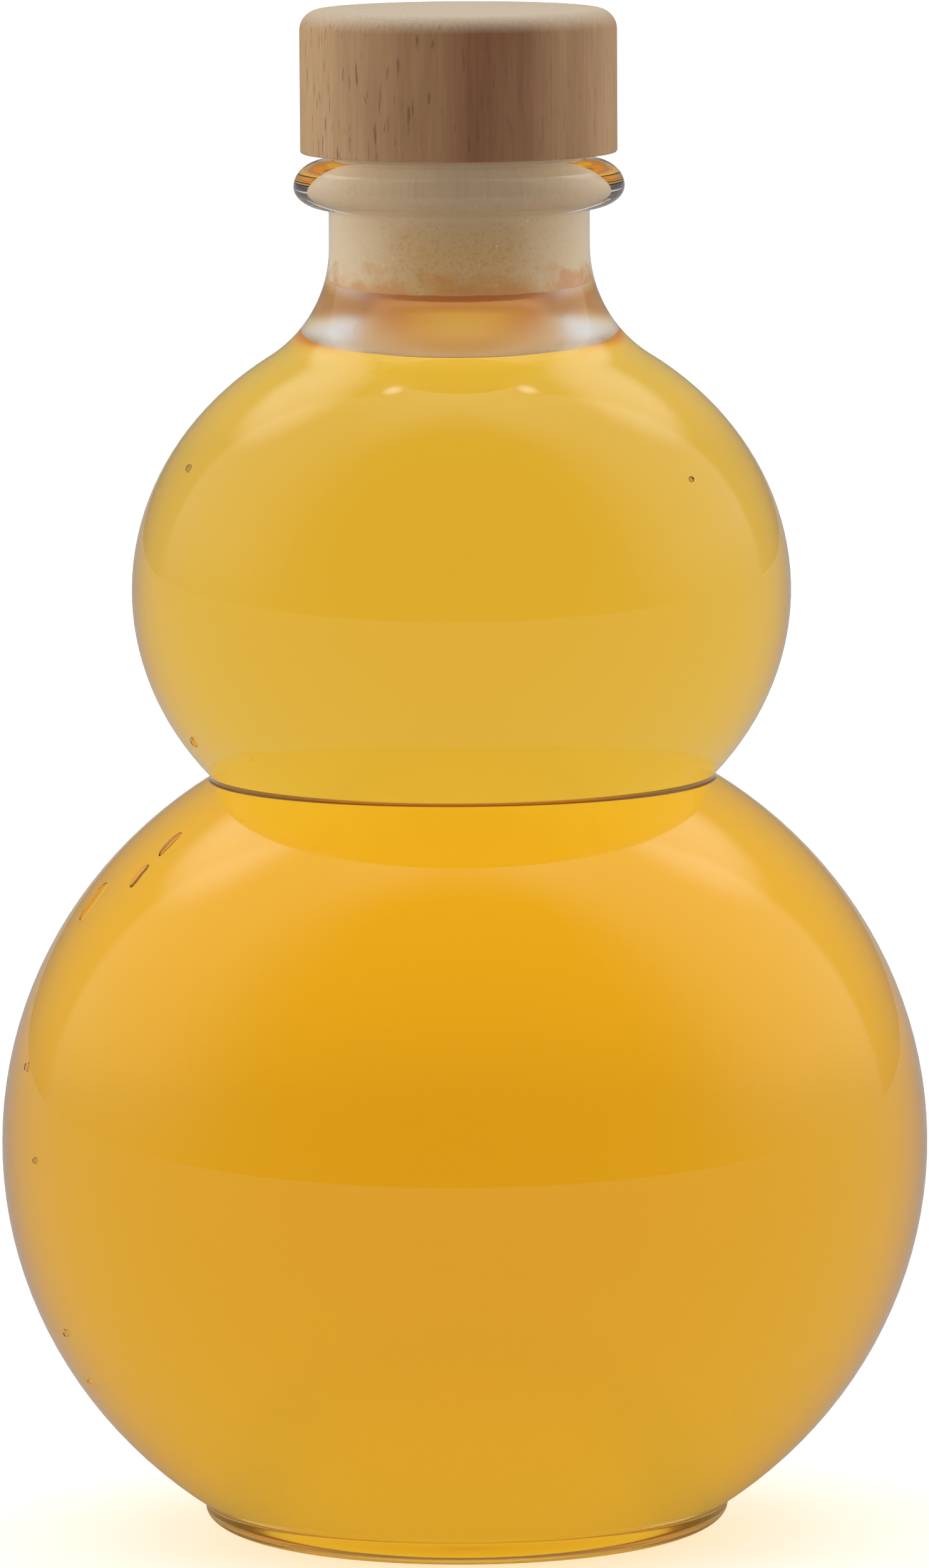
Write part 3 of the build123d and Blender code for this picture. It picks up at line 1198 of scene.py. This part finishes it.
@dataclass
class Stopper:
    """The turned head and its cork shank."""

    lathe: Lathe
    mouth_height: float
    bore_radius: float
    head_radius: float = 17.0
    head_height: float = 15.35
    top_rounding: float = 2.2
    edge_rounding: float = 0.25
    shank_length: float = 16.0
    end_rounding: float = 1.6
    spigot_chamfer: float = 0.6
    pocket_depth: float = 4.0
    glue_thickness: float = 0.15
    bore_clearance: float = 0.05
    cork_squeeze: float = 0.08
    cork_unevenness: float = 0.1
    cork_pit: float = 1.2
    arc_step: float = 6.0
    segments: int = 192

    def build_head(self) -> Piece:
        """Turns the beech head, with the pocket in its underside.

        Returns:
            The piece.
        """
        outline = Outline(self.arc_step)
        pocket_radius = self.bore_radius - self.bore_clearance + self.glue_thickness
        top = self.mouth_height + self.head_height
        pocket_top = self.mouth_height + self.pocket_depth
        edge, rounding = self.edge_rounding, self.top_rounding
        outline.add((0.0, pocket_top), (pocket_radius, pocket_top), (pocket_radius, self.mouth_height))
        outline.add((self.head_radius - edge, self.mouth_height))
        edge_height = self.mouth_height + edge
        outline.arc((self.head_radius - edge, edge_height), (self.head_radius, edge_height))
        outline.add((self.head_radius, top - rounding))
        outline.arc((self.head_radius - rounding, top - rounding), (self.head_radius - rounding, top))
        outline.add((0.0, top))
        return self.lathe.turn("beech_head", outline, Beech().material(), segments=self.segments)

    def build_shank(self) -> Piece:
        """Turns the cork shank, which the bore squeezes, with the spigot above it.

        Returns:
            The piece.
        """
        outline = Outline(self.arc_step)
        radius = self.bore_radius + self.cork_squeeze
        spigot_radius = self.bore_radius - self.bore_clearance
        end = self.mouth_height - self.shank_length
        rounding = self.end_rounding
        top = self.mouth_height + self.pocket_depth - self.glue_thickness
        outline.add((0.0, end), (radius - rounding, end))
        outline.arc((radius - rounding, end + rounding), (radius, end + rounding))
        outline.add((radius, self.mouth_height - self.glue_thickness))
        outline.add((spigot_radius, self.mouth_height))
        outline.add((spigot_radius, top - self.spigot_chamfer), (spigot_radius - self.spigot_chamfer, top))
        outline.add((0.0, top))
        return self.lathe.turn(
            "cork_shank", outline, Cork().material(end), segments=self.segments,
            unevenness=self.cork_unevenness, unevenness_size=self.cork_pit,
        )


# Studio


@dataclass(frozen=True)
class Lamp:
    """A pair of lamps, one to the left and one to the right, as what they add to the sky.

    The way points to the right one. The two cosines are those of the angles from it at which the light begins
    and at which it is full.
    """

    way: tuple[float, float, float]
    edge: float
    core: float
    level: float


@dataclass(frozen=True)
class Levels:
    """How bright the surroundings are to one kind of ray. Angles are degrees from the camera's way."""

    back: float
    left: float
    right: float
    front: float
    top: float
    side_start: float = 40.0
    start_blur: float = 12.0
    side_end: float = 136.0
    end_blur: float = 12.0
    right_lead: float = 0.0
    side_rise: float = 0.0
    rise_end: float = 0.25
    top_start: float = 0.6
    top_front: float = -2.0
    front_blur: float = 0.3
    lamps: tuple[Lamp, ...] = ()


@dataclass(frozen=True)
class Studio:
    """The floor, the light and the camera."""

    camera_distance: float = 1255.0
    camera_height: float = 233.8
    pitch: float = 0.1213
    roll: float = -0.006
    shift_pixels: float = 3.0
    focal_pixels: float = 18741.0
    frame_height: float = 2505.0
    sensor: float = 36.0
    clip_start: float = 0.01
    clip_end: float = 100.0
    floor_segments: int = 96
    floor_radius: float = 6000.0
    floor_front: float = 1200.0
    paper: float = 0.8
    mirrored_paper: float = 0.4
    floor_lift: float = 0.38
    near_paper: float = 0.72
    far_paper: float = 0.71
    # Painted light: how much brighter the floor seen through the glass glows at the bottle.
    glass_painted_glow: float = 0.26
    lift_end: float = 220.0
    near_distance: float = 60.0
    far_distance: float = 700.0
    lighting: Levels = Levels(
        back=0.8, left=1.32, right=1.36, front=0.016, top=1.7, start_blur=25.0, side_end=125.0,
        end_blur=22.0, right_lead=20.0,
    )
    mirrored: Levels = Levels(
        back=0.24, left=0.36, right=0.44, front=0.04, top=1.04, side_start=50.0, start_blur=2.5,
        side_end=108.0, end_blur=24.0, side_rise=0.8, top_start=0.88, top_front=-0.2,
        lamps=(
            Lamp(way=(0.24, 0.27, 0.93), edge=0.9965, core=0.9985, level=5.0),
            Lamp(way=(0.47, 0.52, 0.71), edge=0.95, core=0.995, level=1.2),
        ),
    )
    through_glass: Levels = Levels(back=0.76, left=0.77, right=0.77, front=0.68, top=0.77)

    def build_camera(self) -> Piece:
        """Makes the camera, which looks a little down at the bottle from the front.

        Returns:
            The camera.
        """
        data = bpy.data.cameras.new("camera")
        data.sensor_fit = "VERTICAL"
        data.sensor_height = self.sensor
        data.lens = self.focal_pixels / self.frame_height * self.sensor
        data.clip_start, data.clip_end = self.clip_start, self.clip_end
        data.shift_x = self.shift_pixels / self.frame_height
        camera = new_object("camera", data)
        place = Matrix.Translation((0.0, -self.camera_distance * MM, self.camera_height * MM))
        aim = Matrix.Rotation(math.pi / 2 - self.pitch, 4, "X") @ Matrix.Rotation(self.roll, 4, "Z")
        camera.matrix_world = place @ aim
        bpy.context.scene.camera = camera
        return camera

    def build_floor(self) -> Piece:
        """Makes the pale floor, which ends a step in front of the bottle and takes its shadow.

        Returns:
            The floor.
        """
        mesh = bpy.data.meshes.new("floor")
        shape = bmesh.new()
        centre = Matrix.Translation((0.0, (self.floor_radius - self.floor_front) * MM, 0.0))
        bmesh.ops.create_circle(
            shape, cap_ends=True, segments=self.floor_segments, radius=self.floor_radius * MM, matrix=centre
        )
        shape.to_mesh(mesh)
        shape.free()
        floor = new_object("floor", mesh)
        mesh.materials.append(self.paper_material())
        return floor

    def paper_material(self) -> Material:
        """Makes the floor's white paper, which the camera sees as white and glass mirrors as grey. Seen
        through the glass, it glows brighter near the bottle, a painted light that fills the bottle's shadow
        there.

        Returns:
            The material.
        """
        material, add = empty_material("white_paper")
        rays = add("ShaderNodeLightPath").outputs
        through = rays[RayKind.THROUGH_GLASS.value]
        where = add("ShaderNodeTexCoord").outputs["Object"]
        distance = add("ShaderNodeVectorMath", [where], operation="LENGTH")
        # Painted light: seen through the glass, the floor glows brighter near the bottle and fills its shadow
        # there.
        seen, near_painted_glow = (
            add(
                "ShaderNodeMapRange",
                [distance.outputs["Value"], self.near_distance * MM, end * MM, near, far],
            )
            for end, near, far in (
                (self.far_distance, self.near_paper, self.far_paper),
                (self.lift_end, self.glass_painted_glow, 0.0),
            )
        )
        grey: Given = self.paper
        for kind, tone in (
            (RayKind.MIRRORED, self.mirrored_paper),
            (RayKind.THROUGH_GLASS, seen.outputs[0]),
        ):
            grey = add("ShaderNodeMix", {0: rays[kind.value], 2: grey, 3: tone}, data_type="FLOAT")
        paper = add("ShaderNodeBsdfDiffuse", {"Color": grey})
        lift = add("ShaderNodeMath", [rays[RayKind.CAMERA.value], self.floor_lift], operation="MULTIPLY")
        lift = add("ShaderNodeMath", [through, near_painted_glow, lift], operation="MULTIPLY_ADD")
        glow = add("ShaderNodeEmission", {"Strength": lift})
        both = add("ShaderNodeAddShader", [paper, glow])
        add("ShaderNodeOutputMaterial", [both])
        return material

    def build_light(self) -> None:
        """Makes the light: softboxes at the sides, light above, and a dark room behind the camera."""
        world = bpy.data.worlds.new("studio")
        world.use_nodes = True
        bpy.context.scene.world = world
        world.node_tree.nodes.clear()
        add = partial(add_node, world.node_tree)
        direction = add("ShaderNodeTexCoord").outputs["Generated"]
        strength = self.sky(add, direction, self.lighting)
        kind = add("ShaderNodeLightPath")
        for ray, sky in (
            (RayKind.MIRRORED, self.sky(add, direction, self.mirrored)),
            (RayKind.THROUGH_GLASS, self.sky(add, direction, self.through_glass)),
            (RayKind.CAMERA, 1.0),
        ):
            strength = add(
                "ShaderNodeMix", {0: kind.outputs[ray.value], 2: strength, 3: sky}, data_type="FLOAT"
            )
        background = add("ShaderNodeBackground", {"Color": (1, 1, 1, 1), "Strength": strength})
        add("ShaderNodeOutputWorld", {"Surface": background})
        bpy.context.scene.view_settings.view_transform = "Standard"

    def sky(self, add: Adder, direction: Socket, levels: Levels) -> Given:
        """Adds the nodes that give one kind of ray its surroundings.

        Args:
            add: What adds a node to the world's tree.
            direction: The ray's direction.
            levels: How bright each side is.

        Returns:
            The brightness.
        """
        parts = add("ShaderNodeSeparateXYZ", [direction]).outputs
        aside = add("ShaderNodeMath", [parts["X"]], operation="ABSOLUTE")
        turn = add("ShaderNodeMath", [aside, parts["Y"]], operation="ARCTAN2")
        is_right = add("ShaderNodeMath", [parts["X"], 0.0], operation="GREATER_THAN")
        side = add("ShaderNodeMix", {0: is_right, 2: levels.left, 3: levels.right}, data_type="FLOAT")
        rise = add("ShaderNodeMapRange", [parts["Z"], 0.0, levels.rise_end, 1.0, 1.0 + levels.side_rise])
        side = add("ShaderNodeMath", [side, rise], operation="MULTIPLY")
        lead = math.radians(levels.right_lead)
        led = add("ShaderNodeMath", [is_right, lead, turn], operation="MULTIPLY_ADD")
        strength: Given = levels.back
        for angle, edge, blur, level in (
            (turn, levels.side_start, levels.start_blur, side.outputs[0]),
            (led.outputs[0], levels.side_end, levels.end_blur, levels.front),
        ):
            share = add(
                "ShaderNodeMapRange", [angle, math.radians(edge - blur), math.radians(edge + blur)],
                interpolation_type="SMOOTHSTEP",
            )
            strength = add("ShaderNodeMix", {0: share, 2: strength, 3: level}, data_type="FLOAT")
        share = add("ShaderNodeMapRange", [parts["Z"], levels.top_start], interpolation_type="SMOOTHSTEP")
        behind = add(
            "ShaderNodeMapRange", [parts["Y"], levels.top_front, levels.top_front + levels.front_blur]
        )
        share = add("ShaderNodeMath", [share, behind], operation="MULTIPLY")
        strength = add("ShaderNodeMix", {0: share, 2: strength, 3: levels.top}, data_type="FLOAT")
        folded = add("ShaderNodeCombineXYZ", {"X": aside, "Y": parts["Y"], "Z": parts["Z"]})
        for lamp in levels.lamps:
            near = add("ShaderNodeVectorMath", [folded, lamp.way], operation="DOT_PRODUCT")
            glow = add(
                "ShaderNodeMapRange", [near.outputs["Value"], lamp.edge, lamp.core, 0.0, lamp.level],
                interpolation_type="SMOOTHSTEP",
            )
            strength = add("ShaderNodeMath", [strength, glow], operation="ADD")
        return strength


def seat(piece: Piece, body: str, slot: str, *nodes: str) -> None:
    """Makes a piece ride on a body in place of its solids, and logs it.

    Args:
        piece: The piece.
        body: The body that it moves with.
        slot: The record's material slot. It is not used.
        nodes: The solids that it stands for.
    """
    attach(piece, body)
    if nodes:
        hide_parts(*nodes)
    log.info("%s: %d faces on %s", piece.name, len(piece.data.polygons), body)


def main() -> None:
    """Builds the studio and the pieces in order."""
    logging.basicConfig(level=logging.INFO, format="%(name)s: %(message)s")
    studio = Studio()
    studio.build_camera()
    studio.build_floor()
    studio.build_light()
    shape = BottleShape()
    lathe = Lathe()
    vessel = Vessel(lathe, shape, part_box("drink")[1].z / MM)
    seat(vessel.build_glass(), "bottle", "clear_glass", "glass_bottle")
    seat(vessel.build_drink(), "bottle", "golden_drink", "drink")
    seat(vessel.build_skin(), "bottle", "golden_drink")
    seat(Drops(shape, vessel.drink.drops()).build(), "bottle", "golden_drink")
    stopper = Stopper(lathe, shape.mouth_height, shape.bore_radius)
    seat(stopper.build_head(), "stopper", "beech", "stopper_head")
    seat(stopper.build_shank(), "stopper", "cork", "stopper_shank")
    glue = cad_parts["stopper_glue"]
    glue.data.materials.clear()
    glue.data.materials.append(DriedGlue().material())


if __name__ == "__main__":
    main()
